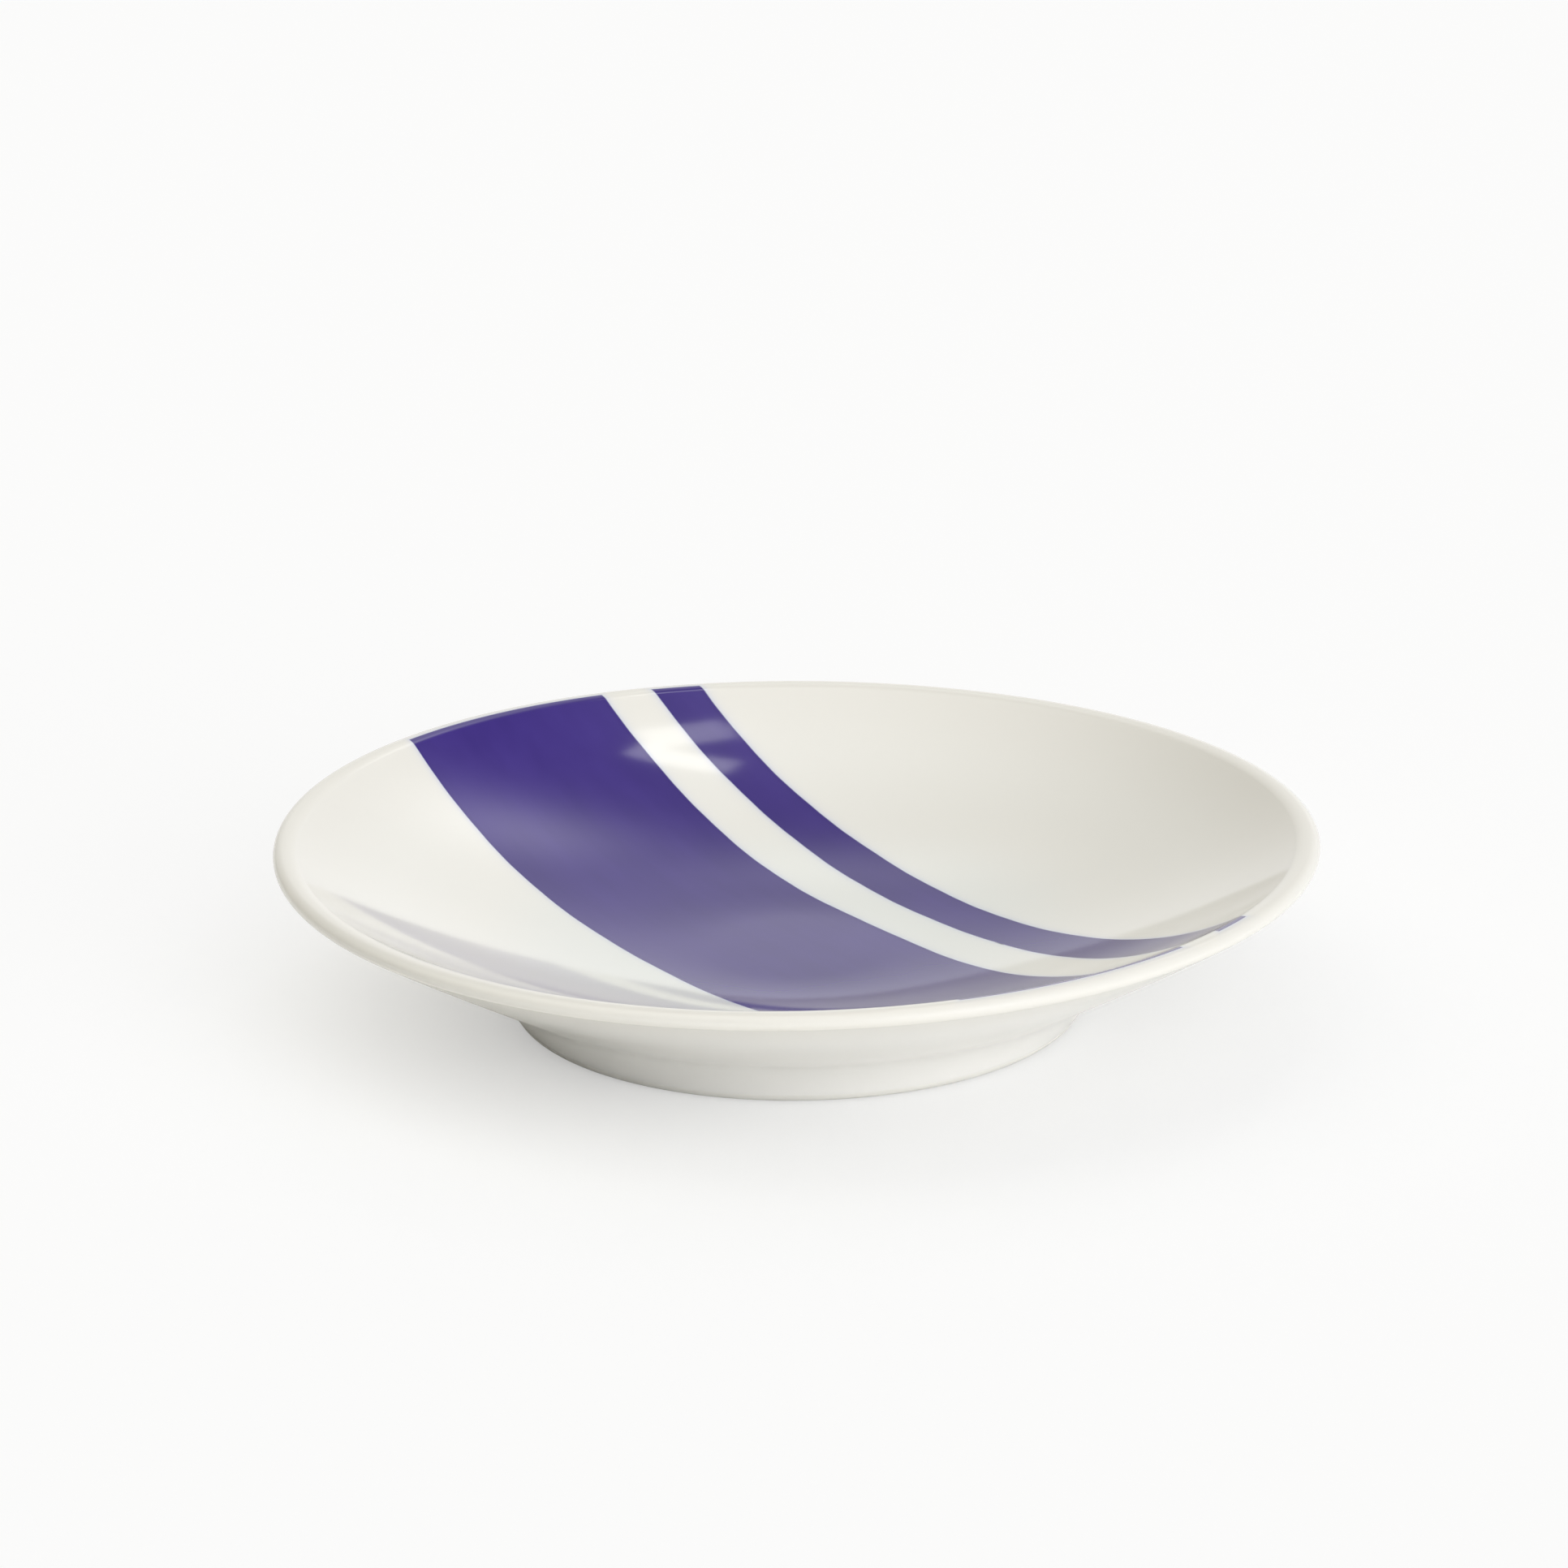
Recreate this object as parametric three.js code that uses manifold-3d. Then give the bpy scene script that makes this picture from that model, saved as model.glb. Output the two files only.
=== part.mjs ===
// Shallow round plate of glazed porcelain on a foot ring.
// Millimetres, +Z up. The plate stands on z = 0 about the Z axis, and its two painted bands cross the
// face from the back left to the front right.
//
// A fired plate is one piece. It is split here into its clay bodies and its areas of glaze. They all
// come from one section line, the finished surface: a coat of glaze lies under that line, and the clay
// lies under the coat.

import Module from 'manifold-3d';
import * as THREE from 'three';
import { mergeVertices } from 'three/addons/utils/BufferGeometryUtils.js';

// Overall
const RIM_RADIUS = 75;
const TOTAL_HEIGHT = 26;

// Lip: its thickness, and how far its widest line lies below its crest
const LIP_THICKNESS = 2.8;
const LIP_CREST = 1.2;

// Wall and well: a straight wall that runs into the flat floor in a wide curve
const WALL_THICKNESS = 3.6;
const FLOOR_THICKNESS = 4;
const WELL_BLEND_RADIUS = 110;

// Foot ring: it stands on a flat land between two rounded edges, and its outer side flares up to the
// shoulder where the wall begins; the base is the underside of the floor
const FOOT_RADIUS = 40.5;
const FOOT_EDGE = 0.8;
const LAND_WIDTH = 3;
const FOOT_INNER_LEAN = 1.2;
const SHOULDER_FLARE = 4;
const SHOULDER_HEIGHT = 6.2;
const SHOULDER_BLEND = 3;
const BASE_HEIGHT = 4.4;

// Glaze: it stops a bare strip above the foot's edges, and a seam parts it from what it is fused to
const GLAZE_THICKNESS = 0.4;
const BARE_STRIP = 0.4;
const SEAM = 0.1;

// Painted bands, measured square to their run; the start is where the broad one begins, from the axis
const BROAD_BAND_START = -22;
const BROAD_BAND_WIDTH = 36;
const NARROW_BAND_WIDTH = 7;
const BAND_SPACING = 8;
const BAND_TURN = THREE.MathUtils.degToRad(35);

// Fineness of the round stretches, and the share of a straight stretch that a blend may take up
const TURN_SEGMENTS = 60;
const LIP_STEPS = 6;
const WELL_STEPS = 6;
const SHOULDER_STEPS = 3;
const EDGE_STEPS = 2;
const BLEND_LIMIT = 0.9;

const FINISHES = {
  clay: { color: '#e6dfd2', roughness: 0.7, metalness: 0 },
  glaze: { color: '#efeee6', roughness: 0.1, metalness: 0 },
  lipGlaze: { color: '#f0ebdd', roughness: 0.12, metalness: 0 },
  indigo: { color: '#40357c', roughness: 0.1, metalness: 0 },
};

const wasm = await Module();
wasm.setup();

const point = (r, z) => new THREE.Vector2(r, z);
const bareHeight = FOOT_EDGE + BARE_STRIP;
const shoulder = point(FOOT_RADIUS + SHOULDER_FLARE, SHOULDER_HEIGHT);
const footBottom = point(FOOT_RADIUS, 0);
const landOuter = FOOT_RADIUS - FOOT_EDGE;
const landInner = landOuter - LAND_WIDTH;
const footInside = landInner - FOOT_EDGE;

// The point at a height on the straight line through a and b
function atHeight(a, b, z) {
  return a.clone().lerp(b, (z - a.y) / (b.y - a.y));
}

// The point a length away from a towards b, within the blend limit
function towards(a, b, length) {
  return a.clone().lerp(b, Math.min(length / a.distanceTo(b), BLEND_LIMIT));
}

// Lip: from the inner face over the crest and the widest line to the outer face
function lipLine() {
  const half = LIP_THICKNESS / 2;
  const centre = point(RIM_RADIUS - half, TOTAL_HEIGHT - LIP_CREST);
  const first = THREE.MathUtils.degToRad(120);
  const last = THREE.MathUtils.degToRad(-60);
  return Array.from({ length: LIP_STEPS + 1 }, (_, i) => {
    const angle = first + ((last - first) * i) / LIP_STEPS;
    const rise = angle > 0 ? LIP_CREST : LIP_THICKNESS - LIP_CREST;
    return point(centre.x + half * Math.cos(angle), centre.y + rise * Math.sin(angle));
  });
}

// Outside: down the wall, round the shoulder and down the foot to the glaze's end
function outsideLine(lipEnd) {
  const glazeEnd = atHeight(shoulder, footBottom, bareHeight);
  const wallEnd = towards(shoulder, lipEnd, SHOULDER_BLEND);
  const footStart = towards(shoulder, glazeEnd, SHOULDER_BLEND);
  const blend = new THREE.QuadraticBezierCurve(wallEnd, shoulder, footStart);
  return [lipEnd, ...blend.getPoints(SHOULDER_STEPS), glazeEnd];
}

// Face: from the axis over the flat floor, up the blend and along the wall to the lip
function faceLine(lipStart, lipEnd) {
  const run = lipEnd.clone().sub(shoulder).normalize();
  const wallFoot = shoulder.clone().add(point(-run.y, run.x).multiplyScalar(WALL_THICKNESS));
  const floor = BASE_HEIGHT + FLOOR_THICKNESS;
  const corner = atHeight(wallFoot, lipStart, floor);
  const slope = lipStart.clone().sub(corner).angle();
  const room = BLEND_LIMIT * Math.min(corner.x, corner.distanceTo(lipStart));
  const reach = Math.min(WELL_BLEND_RADIUS * Math.tan(slope / 2), room);
  const radius = reach / Math.tan(slope / 2);
  const blend = Array.from({ length: WELL_STEPS + 1 }, (_, i) => {
    const angle = (slope * i) / WELL_STEPS;
    return point(corner.x - reach + radius * Math.sin(angle), floor + radius * (1 - Math.cos(angle)));
  });
  return [point(0, floor), ...blend, lipStart];
}

// Underside inside the foot: from the glaze's end up the foot's inner side and across to the axis
function undersideLine() {
  const corner = point(footInside - FOOT_INNER_LEAN, BASE_HEIGHT);
  return [point(footInside, bareHeight), corner, point(0, BASE_HEIGHT)];
}

// A line moved to the right of its run by a depth, with its corners sharp and its axis points on the axis
function sunk(line, depth) {
  return line.map((here, i) => {
    const before = here.clone().sub(line[i - 1] ?? here).normalize();
    const after = (line[i + 1] ?? here).clone().sub(here).normalize();
    const across = point(before.y + after.y, -before.x - after.x);
    const isEnd = i === 0 || i === line.length - 1;
    const moved = here.clone().addScaledVector(across, isEnd ? depth : (2 * depth) / across.lengthSq());
    return here.x === 0 ? point(0, moved.y) : moved;
  });
}

// The index at which a line first passes a height, and the point where it does
function crossing(line, z) {
  const next = line.findIndex((here, i) => i > 0 && (here.y - z) * (line[i - 1].y - z) <= 0);
  return { next, at: atHeight(line[next - 1], line[next], z) };
}

// A line with half a seam taken off each end that isn't on the axis
function trimmed(line) {
  const shortened = (end, inner) => (end.x === 0 ? end : towards(end, inner, SEAM / 2));
  return [shortened(line[0], line[1]), ...line.slice(1, -1), shortened(line.at(-1), line.at(-2))];
}

// A geometry with nothing but shared positions, so that it closes
function merged(geometry) {
  geometry.deleteAttribute('normal');
  geometry.deleteAttribute('uv');
  return mergeVertices(geometry);
}

// A closed section, listed clockwise, turned about the Z axis
function turned(section) {
  const onAxis = section[0].x === 0 && section.at(-1).x === 0;
  const profile = onAxis ? section : [...section, section[0]];
  const lathe = new THREE.LatheGeometry(profile.toReversed(), TURN_SEGMENTS);
  return merged(lathe.rotateX(Math.PI / 2));
}

// A coat of glaze on the stretch of a surface from one point to another, with its back at the same points
function coat(surface, back, from, to) {
  const outer = trimmed(surface.slice(from, to + 1));
  const inner = trimmed(back.slice(from, to + 1));
  return turned([...outer, ...inner.toReversed()]);
}

function toSolid(geometry) {
  const vertProperties = Float32Array.from(geometry.attributes.position.array);
  const triVerts = Uint32Array.from(geometry.index.array);
  return new wasm.Manifold(new wasm.Mesh({ numProp: 3, vertProperties, triVerts }));
}

function toGeometry(solid) {
  const { vertProperties, triVerts } = solid.getMesh();
  const geometry = new THREE.BufferGeometry();
  geometry.setAttribute('position', new THREE.BufferAttribute(vertProperties, 3));
  return geometry.setIndex(new THREE.BufferAttribute(triVerts, 1));
}

// An upright slab wider and taller than the plate, between two distances square to the bands' run
function slab(from, to) {
  const box = new THREE.BoxGeometry(to - from - SEAM, 4 * RIM_RADIUS, 4 * TOTAL_HEIGHT);
  return merged(box.translate((from + to) / 2, 0, 0).rotateZ(BAND_TURN));
}

const plate = new THREE.Group();
plate.name = 'plate';

function addPart(name, geometry, finish) {
  const mesh = new THREE.Mesh(geometry, new THREE.MeshStandardMaterial({ ...finish, flatShading: true }));
  mesh.name = name;
  plate.add(mesh);
}

// The finished surface from the middle of the face to the foot, then the back of its glaze and the clay
const lip = lipLine();
const face = faceLine(lip[0], lip.at(-1));
const outside = outsideLine(lip.at(-1));
const surface = [...face, ...lip.slice(1), ...outside.slice(1)];
const glazeBack = sunk(surface, GLAZE_THICKNESS);
const clay = sunk(surface, GLAZE_THICKNESS + SEAM);
const lipFrom = face.length - 1;
const lipTo = lipFrom + lip.length - 1;
const clayOutside = clay.slice(lipTo);

// The same three lines for the underside inside the foot
const underside = undersideLine();
const undersideBack = sunk(underside, GLAZE_THICKNESS);
const undersideClay = sunk(underside, GLAZE_THICKNESS + SEAM);
const jointHeight = undersideClay.at(-1).y;

// Clay dish: floor, wall and lip, flat underneath where the foot ring is luted on
function dishSection() {
  const end = crossing(clayOutside, jointHeight);
  return [...clay.slice(0, lipTo), ...clayOutside.slice(0, end.next), end.at, undersideClay.at(-1)];
}

// Clay foot ring: both sides below the joint, the steps where the glaze stops, and the bare land
function ringSection() {
  const outerStart = crossing(clayOutside, jointHeight - SEAM);
  const innerEnd = crossing(undersideClay, jointHeight - SEAM);
  const bareTop = bareHeight - SEAM;
  const outerSide = atHeight(shoulder, footBottom, FOOT_EDGE);
  const outerEdge = new THREE.QuadraticBezierCurve(outerSide, footBottom, point(landOuter, 0));
  const innerSide = point(footInside, FOOT_EDGE);
  const innerEdge = new THREE.QuadraticBezierCurve(point(landInner, 0), point(footInside, 0), innerSide);
  return [
    outerStart.at, ...clayOutside.slice(outerStart.next),
    atHeight(shoulder, footBottom, bareTop), ...outerEdge.getPoints(EDGE_STEPS),
    ...innerEdge.getPoints(EDGE_STEPS), point(footInside, bareTop),
    ...undersideClay.slice(0, innerEnd.next), innerEnd.at,
  ];
}

addPart('dish_body', turned(dishSection()), FINISHES.clay);
addPart('foot_ring', turned(ringSection()), FINISHES.clay);

// Glaze over the lip, the outside and the underside
addPart('lip_glaze', coat(surface, glazeBack, lipFrom, lipTo), FINISHES.lipGlaze);
addPart('outside_glaze', coat(surface, glazeBack, lipTo, surface.length - 1), FINISHES.glaze);
addPart('underside_glaze', coat(underside, undersideBack, 0, underside.length - 1), FINISHES.glaze);

// Glaze over the face, in fields side by side: clear, broad band, clear, narrow band, clear
const broadEnd = BROAD_BAND_START + BROAD_BAND_WIDTH;
const narrowStart = broadEnd + BAND_SPACING;
const narrowEnd = narrowStart + NARROW_BAND_WIDTH;
const beyond = 2 * RIM_RADIUS;
const fields = [
  { name: 'front_clear_glaze', from: -beyond, to: BROAD_BAND_START, finish: FINISHES.glaze },
  { name: 'broad_blue_band', from: BROAD_BAND_START, to: broadEnd, finish: FINISHES.indigo },
  { name: 'middle_clear_glaze', from: broadEnd, to: narrowStart, finish: FINISHES.glaze },
  { name: 'narrow_blue_band', from: narrowStart, to: narrowEnd, finish: FINISHES.indigo },
  { name: 'back_clear_glaze', from: narrowEnd, to: beyond, finish: FINISHES.glaze },
];
const faceCoat = toSolid(coat(surface, glazeBack, 0, lipFrom));
for (const { name, from, to, finish } of fields) {
  addPart(name, toGeometry(faceCoat.intersect(toSolid(slab(from, to)))), finish);
}

export default plate;
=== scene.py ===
"""A shallow plate of glazed porcelain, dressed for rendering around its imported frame.

Lengths are metres, +Z is up, and the plate stands on z = 0 about the Z axis. One section line, the
finished surface, gives every piece: coats of glaze lie under it, and the clay lies under the coats.
"""

from __future__ import annotations

import logging
import math
from collections.abc import Callable
from dataclasses import dataclass, field
from enum import Enum

import bmesh
import bpy
from mathutils import Color, Matrix, Vector

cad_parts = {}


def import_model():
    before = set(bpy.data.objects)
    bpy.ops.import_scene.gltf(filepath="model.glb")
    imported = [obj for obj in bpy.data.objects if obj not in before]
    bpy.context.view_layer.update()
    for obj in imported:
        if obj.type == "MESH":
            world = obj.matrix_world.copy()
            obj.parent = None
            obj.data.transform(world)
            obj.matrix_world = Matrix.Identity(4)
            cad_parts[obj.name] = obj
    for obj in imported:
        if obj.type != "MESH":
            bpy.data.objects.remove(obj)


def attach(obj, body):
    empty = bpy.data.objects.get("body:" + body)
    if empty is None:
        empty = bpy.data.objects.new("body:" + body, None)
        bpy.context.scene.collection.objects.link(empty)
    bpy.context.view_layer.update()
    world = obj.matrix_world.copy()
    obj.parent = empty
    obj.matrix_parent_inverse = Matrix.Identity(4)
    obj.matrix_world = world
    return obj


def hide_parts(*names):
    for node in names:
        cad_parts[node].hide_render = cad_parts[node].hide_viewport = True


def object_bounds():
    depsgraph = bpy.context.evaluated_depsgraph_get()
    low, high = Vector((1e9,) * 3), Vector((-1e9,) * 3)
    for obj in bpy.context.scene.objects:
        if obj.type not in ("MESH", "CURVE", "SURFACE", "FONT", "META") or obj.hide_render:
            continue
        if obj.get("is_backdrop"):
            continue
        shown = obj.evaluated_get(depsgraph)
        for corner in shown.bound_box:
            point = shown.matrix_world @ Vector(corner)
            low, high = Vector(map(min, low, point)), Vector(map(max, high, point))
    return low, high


LOG = logging.getLogger("plate")
MM = 0.001
MICRON = 1e-6
BODY = "root"
SHARP = math.radians(40)

Point = tuple[float, float]
Colour = tuple[float, float, float, float]

WHITE: Colour = (1.0, 1.0, 1.0, 1.0)


def tone(red: int, green: int, blue: int) -> Colour:
    """Turn a colour as it looks on a screen into the linear colour that shaders take.

    Args:
        red: Red, from 0 to 255.
        green: Green, from 0 to 255.
        blue: Blue, from 0 to 255.

    Returns:
        The linear colour, opaque.
    """
    screen = Color((red / 255, green / 255, blue / 255))
    return *screen.from_srgb_to_scene_linear(), 1.0


class Wire:
    """An output socket that takes part in Python arithmetic by adding Math nodes to its tree."""

    def __init__(self, graph: Graph, socket: bpy.types.NodeSocket | None) -> None:
        """Keep the socket and the graph that it belongs to."""
        self.graph = graph
        self.socket = socket

    def out(self, name: str) -> Wire:
        """Give another output of the same node, by its name."""
        return Wire(self.graph, self.socket.node.outputs[name])

    def __add__(self, other: Wire | float) -> Wire:
        """Add."""
        return self.graph.math("ADD", self, other)

    __radd__ = __add__

    def __sub__(self, other: Wire | float) -> Wire:
        """Take away."""
        return self.graph.math("SUBTRACT", self, other)

    def __rsub__(self, other: float) -> Wire:
        """Take this away from a number."""
        return self.graph.math("SUBTRACT", other, self)

    def __mul__(self, other: Wire | float) -> Wire:
        """Multiply."""
        return self.graph.math("MULTIPLY", self, other)

    __rmul__ = __mul__

    def __truediv__(self, other: Wire | float) -> Wire:
        """Divide."""
        return self.graph.math("DIVIDE", self, other)

    def __rtruediv__(self, other: float) -> Wire:
        """Divide a number by this."""
        return self.graph.math("DIVIDE", other, self)

    def __pow__(self, other: Wire | float) -> Wire:
        """Raise to a power."""
        return self.graph.math("POWER", self, other)

    def __rpow__(self, other: float) -> Wire:
        """Raise a number to this power."""
        return self.graph.math("POWER", other, self)

    def __neg__(self) -> Wire:
        """Turn the sign."""
        return self.graph.math("MULTIPLY", self, -1.0)


class Graph:
    """A node tree that is written as expressions on wires."""

    def __init__(self, tree: bpy.types.NodeTree) -> None:
        """Keep the tree and empty it."""
        self.tree = tree
        self.tree.nodes.clear()

    @staticmethod
    def find_input(node: bpy.types.Node, key: str | int) -> bpy.types.NodeSocket:
        """Find a node's input by its identifier, or else by its name or number."""
        by_identifier = {socket.identifier: socket for socket in node.inputs}
        return by_identifier[key] if key in by_identifier else node.inputs[key]

    def feed(self, socket: bpy.types.NodeSocket, value: object) -> None:
        """Link a wire to a socket, or set the socket to a plain value.

        Args:
            socket: The input to feed.
            value: A wire, or what the socket's default value may hold.
        """
        if isinstance(value, Wire):
            self.tree.links.new(value.socket, socket)
        else:
            socket.default_value = value

    def node(self, kind: str, settings: dict | None = None, inputs: dict | None = None) -> Wire:
        """Add a node, set it up and feed it.

        Args:
            kind: The node's type.
            settings: Its properties, which are set first.
            inputs: Its inputs by identifier, name or number, each a wire or a value.

        Returns:
            The node's first enabled output, or a wire with no socket where it has none.
        """
        made = self.tree.nodes.new(kind)
        for name, value in (settings or {}).items():
            setattr(made, name, value)
        for key, value in (inputs or {}).items():
            self.feed(self.find_input(made, key), value)
        enabled = [socket for socket in made.outputs if socket.enabled]
        return Wire(self, enabled[0] if enabled else None)

    def math(self, operation: str, *values: Wire | float) -> Wire:
        """Add a Math node."""
        return self.node("ShaderNodeMath", {"operation": operation}, dict(enumerate(values)))

    def ease(self, value: Wire, start: float, end: float) -> Wire:
        """Go smoothly from 0 at a start to 1 at an end.

        Args:
            value: What is measured.
            start: Where the result leaves 0.
            end: Where the result reaches 1; it may be below the start.

        Returns:
            The eased share.
        """
        low, high = (start, end) if start < end else (end, start)
        inputs = {"Value": value, "From Min": low, "From Max": high}
        eased = self.node("ShaderNodeMapRange", {"interpolation_type": "SMOOTHSTEP"}, inputs)
        return eased if start < end else 1.0 - eased

    def mix(self, share: Wire | float, first: Wire | Colour, second: Wire | Colour) -> Wire:
        """Mix two colours by a share of the second."""
        inputs = {"Factor_Float": share, "A_Color": first, "B_Color": second}
        return self.node("ShaderNodeMix", {"data_type": "RGBA"}, inputs)

    def noise(self, place: Wire, scale: float, detail: float = 2.0) -> Wire:
        """Add smooth noise about one half.

        Args:
            place: The point at which it is read.
            scale: Waves to the metre.
            detail: Layers of finer noise.

        Returns:
            The noise's value.
        """
        inputs = {"Vector": place, "Scale": scale, "Detail": detail}
        return self.node("ShaderNodeTexNoise", None, inputs)

    def vector(self, x: Wire | float, y: Wire | float, z: Wire | float) -> Wire:
        """Join three values into a vector."""
        return self.node("ShaderNodeCombineXYZ", None, {"X": x, "Y": y, "Z": z})

    def bump(self, heights: Wire) -> Wire:
        """Tilt the normal as heights in metres would."""
        return self.node("ShaderNodeBump", None, {"Strength": 1.0, "Distance": 1.0, "Height": heights})


class Finish(Enum):
    """The finishes that the plate's pieces and its stage take."""

    FACE = "glazed_face"
    BAND = "indigo_band"
    OUTSIDE = "glazed_outside"
    CLAY = "bare_porcelain"
    FLOOR = "studio_floor"


def new_material(finish: Finish) -> tuple[bpy.types.Material, Graph]:
    """Make an empty material with a node tree.

    Args:
        finish: The finish that gives it its name.

    Returns:
        The material and its graph.
    """
    material = bpy.data.materials.new(finish.value)
    material.use_nodes = True
    return material, Graph(material.node_tree)


@dataclass(frozen=True)
class Specks:
    """Tiny round marks, scattered one to a cell, with edges that are measured in shares of a cell."""

    cells_to_the_metre: float
    outer_edge: float
    inner_edge: float
    bare_cells: float
    strength: float
    colour: Colour

    def over(self, graph: Graph, place: Wire, ground: Wire) -> Wire:
        """Put the marks over a ground colour.

        Args:
            graph: The material's graph.
            place: Object coordinates.
            ground: The colour between the marks.

        Returns:
            The marked colour.
        """
        inputs = {"Vector": place, "Scale": self.cells_to_the_metre}
        distance = graph.node("ShaderNodeTexVoronoi", None, inputs)
        draw = graph.node("ShaderNodeSeparateColor", None, {"Color": distance.out("Color")})
        chosen = graph.math("GREATER_THAN", draw, self.bare_cells)
        marks = graph.ease(distance, self.outer_edge, self.inner_edge) * chosen
        return graph.mix(marks * self.strength, ground, self.colour)


@dataclass(frozen=True)
class Ripple:
    """One wave of a hand's waver: its pace, its share of the swing and its share of the phase."""

    pace: float
    share: float
    shift: float


@dataclass(frozen=True)
class PaintEdge:
    """One edge of the paint, drawn by hand along a straight line."""

    place: float
    phase: float
    swing: float = 0.16 * MM
    wave: float = 61 * MM
    ripples: tuple[Ripple, ...] = (Ripple(1.0, 1.0, 1.0), Ripple(3.7, 0.22, 2.3), Ripple(10.9, 0.07, 4.1))

    def waver(self, along: Wire | float, sine: Callable) -> Wire | float:
        """Work out how far the edge strays from its line.

        Args:
            along: The place along the line, as a number or a wire.
            sine: The sine for that kind of value.

        Returns:
            The distance off the line.
        """
        turn = math.tau / self.wave
        waves = []
        for ripple in self.ripples:
            angle = along * (ripple.pace * turn) + ripple.shift * self.phase
            waves.append(sine(angle) * (ripple.share * self.swing))
        return sum(waves[1:], waves[0])


@dataclass(frozen=True)
class PaintedBands:
    """Two indigo bands painted straight across the face under the glaze."""

    end_radius: float
    turn: float = math.radians(35)
    edges: tuple[PaintEdge, ...] = (
        PaintEdge(-22 * MM, 0.4),
        PaintEdge(14 * MM, 2.1),
        PaintEdge(22 * MM, 3.9),
        PaintEdge(29 * MM, 5.3),
    )
    soft_edge: float = 0.12 * MM
    halo: float = 0.5 * MM
    halo_strength: float = 0.5
    streak_scale: float = 200.0
    streak_squeeze: float = 0.08
    streak_share: float = 0.3
    cloud_scale: float = 40.0
    thin_below: float = 0.25
    deep_above: float = 0.75
    pool_start: float = 1.2 * MM
    pool_full: float = 0.1 * MM
    pool_strength: float = 0.35
    deep: Colour = tone(52, 32, 119)
    thin: Colour = tone(65, 45, 135)
    bleed: Colour = tone(186, 196, 230)
    pinholes: Specks = Specks(
        cells_to_the_metre=110.0, outer_edge=0.03, inner_edge=0.012, bare_cells=0.93,
        strength=0.5, colour=bleed)

    @property
    def across(self) -> Vector:
        """The level direction square to the bands."""
        return Vector((math.cos(self.turn), math.sin(self.turn), 0.0))

    @property
    def along(self) -> Vector:
        """The level direction in which the bands run."""
        return Vector((-math.sin(self.turn), math.cos(self.turn), 0.0))

    def depth(self, graph: Graph, place: Wire) -> Wire:
        """Measure how far inside the paint a point lies.

        Args:
            graph: The material's graph.
            place: Object coordinates.

        Returns:
            The distance to the nearest edge of the paint, below 0 outside it.
        """
        axes = graph.node("ShaderNodeSeparateXYZ", None, {"Vector": place})
        x, y = axes.out("X"), axes.out("Y")
        across = x * self.across.x + y * self.across.y
        along = x * self.along.x + y * self.along.y
        past = []
        for edge in self.edges:
            stray = edge.waver(along, lambda value: graph.math("SINE", value))
            past.append(across - stray - edge.place)
        in_broad = graph.math("MINIMUM", past[0], -past[1])
        in_narrow = graph.math("MINIMUM", past[2], -past[3])
        in_ring = self.end_radius - graph.math("SQRT", x * x + y * y)
        return graph.math("MINIMUM", graph.math("MAXIMUM", in_broad, in_narrow), in_ring)

    def over(self, graph: Graph, place: Wire, ground: Wire) -> Wire:
        """Paint the bands over a ground colour.

        Args:
            graph: The material's graph.
            place: Object coordinates.
            ground: The colour of the bare glaze.

        Returns:
            The painted colour.
        """
        depth = self.depth(graph, place)
        turned = graph.node("ShaderNodeMapping", None, {"Vector": place, "Rotation": (0, 0, -self.turn)})
        squeeze = {"Vector": turned, "Scale": (1.0, self.streak_squeeze, 1.0)}
        drawn_out = graph.node("ShaderNodeMapping", None, squeeze)
        streaks = graph.noise(drawn_out, self.streak_scale)
        clouds = graph.noise(place, self.cloud_scale)
        load = streaks * self.streak_share + clouds * (1 - self.streak_share)
        body = graph.mix(graph.ease(load, self.thin_below, self.deep_above), self.thin, self.deep)
        pooled = graph.ease(depth, self.pool_start, self.pool_full)
        body = graph.mix(pooled * self.pool_strength, body, self.deep)
        body = self.pinholes.over(graph, place, body)
        glow = graph.math("EXPONENT", graph.math("MINIMUM", depth, 0.0) / self.halo)
        haloed = graph.mix(glow * self.halo_strength, ground, self.bleed)
        return graph.mix(graph.ease(depth, -self.soft_edge, self.soft_edge), haloed, body)


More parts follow.
